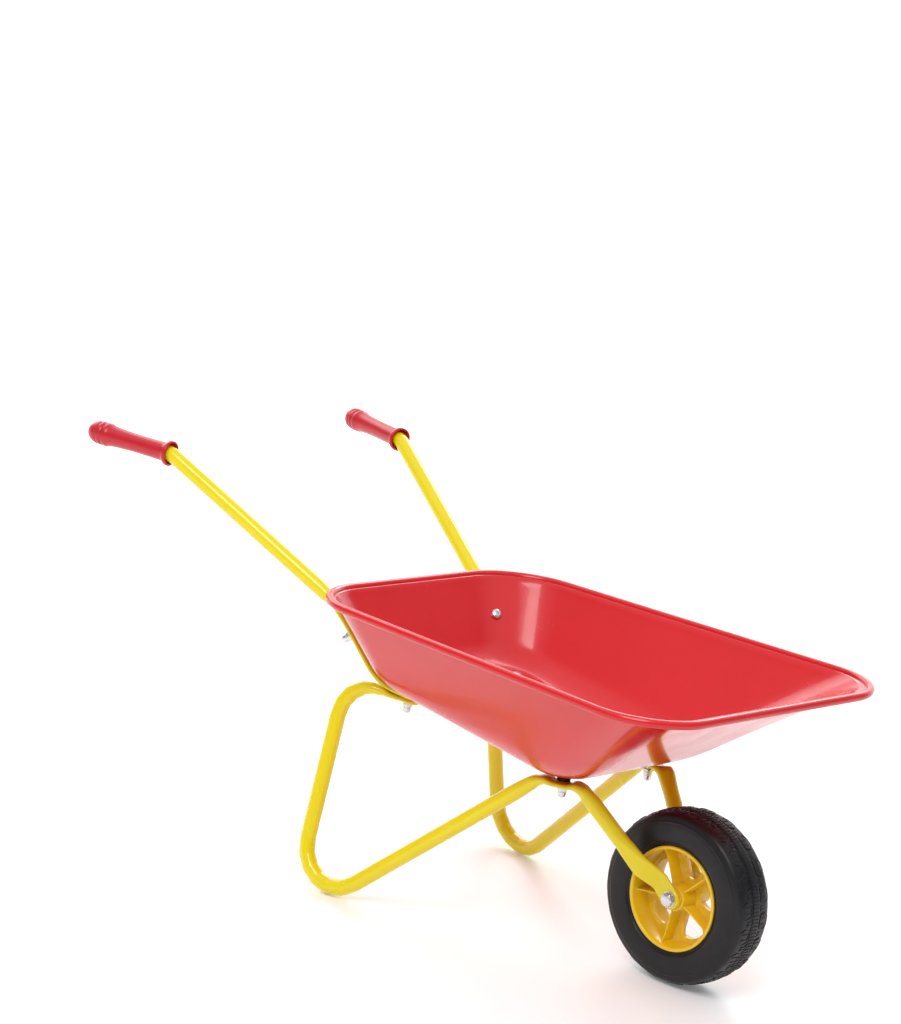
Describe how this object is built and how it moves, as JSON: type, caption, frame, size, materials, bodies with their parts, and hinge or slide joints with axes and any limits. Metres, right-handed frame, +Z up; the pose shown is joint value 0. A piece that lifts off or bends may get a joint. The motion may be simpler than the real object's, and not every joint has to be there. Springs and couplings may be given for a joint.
{
  "type": "child's wheelbarrow",
  "caption": "Child-size wheelbarrow: pressed steel tray with a rolled rim, bent tube handles and leg loops, one spoked wheel with a solid-look tyre that turns on an axle bolt.",
  "frame": {"origin": "middle of the bounding box, on the floor the tyre and the leg loops stand on", "axes": "+X forward to the wheel, +Y to the barrow's left, +Z up"},
  "size_m": [0.8388, 0.4262, 0.4283],
  "materials": {
    "tray_paint": "gloss red enamel",
    "frame_paint": "gloss yellow enamel",
    "grip_plastic": "gloss red moulded plastic",
    "zinc": "bright zinc plate",
    "spacer_plastic": "black moulded plastic",
    "rim_plastic": "yellow moulded plastic",
    "tyre": "black moulded tyre with raised tread blocks"
  },
  "bodies": {
    "frame": {"tray": "tray_paint", "handle_tube_left": "frame_paint", "handle_tube_right": "frame_paint", "leg_tube_left": "frame_paint", "leg_tube_right": "frame_paint", "grip_left": "grip_plastic", "grip_right": "grip_plastic", "screws_rear_wall": "zinc", "screws_floor_rear": "zinc", "screws_floor_front": "zinc", "washers_rear_wall": "zinc", "washers_floor_rear": "zinc", "washers_floor_front": "zinc", "cap_nuts_rear_wall": "zinc", "cap_nuts_floor_rear": "zinc", "cap_nuts_floor_front": "zinc", "floor_spacers": "spacer_plastic", "wall_spacers": "spacer_plastic", "axle_bolt": "zinc", "axle_cap_nut": "zinc", "axle_washers": "zinc", "axle_sleeve": "zinc", "hub_washers": "spacer_plastic"},
    "wheel": {"wheel_rim": "rim_plastic", "tyre": "tyre"}
  },
  "joints": [
    {"name": "wheel_spin", "type": "hinge", "parent": "frame", "child": "wheel", "pos_m": [0.3294, 0, 0.09], "axis": [0, 1, 0], "continuous": true}
  ]
}
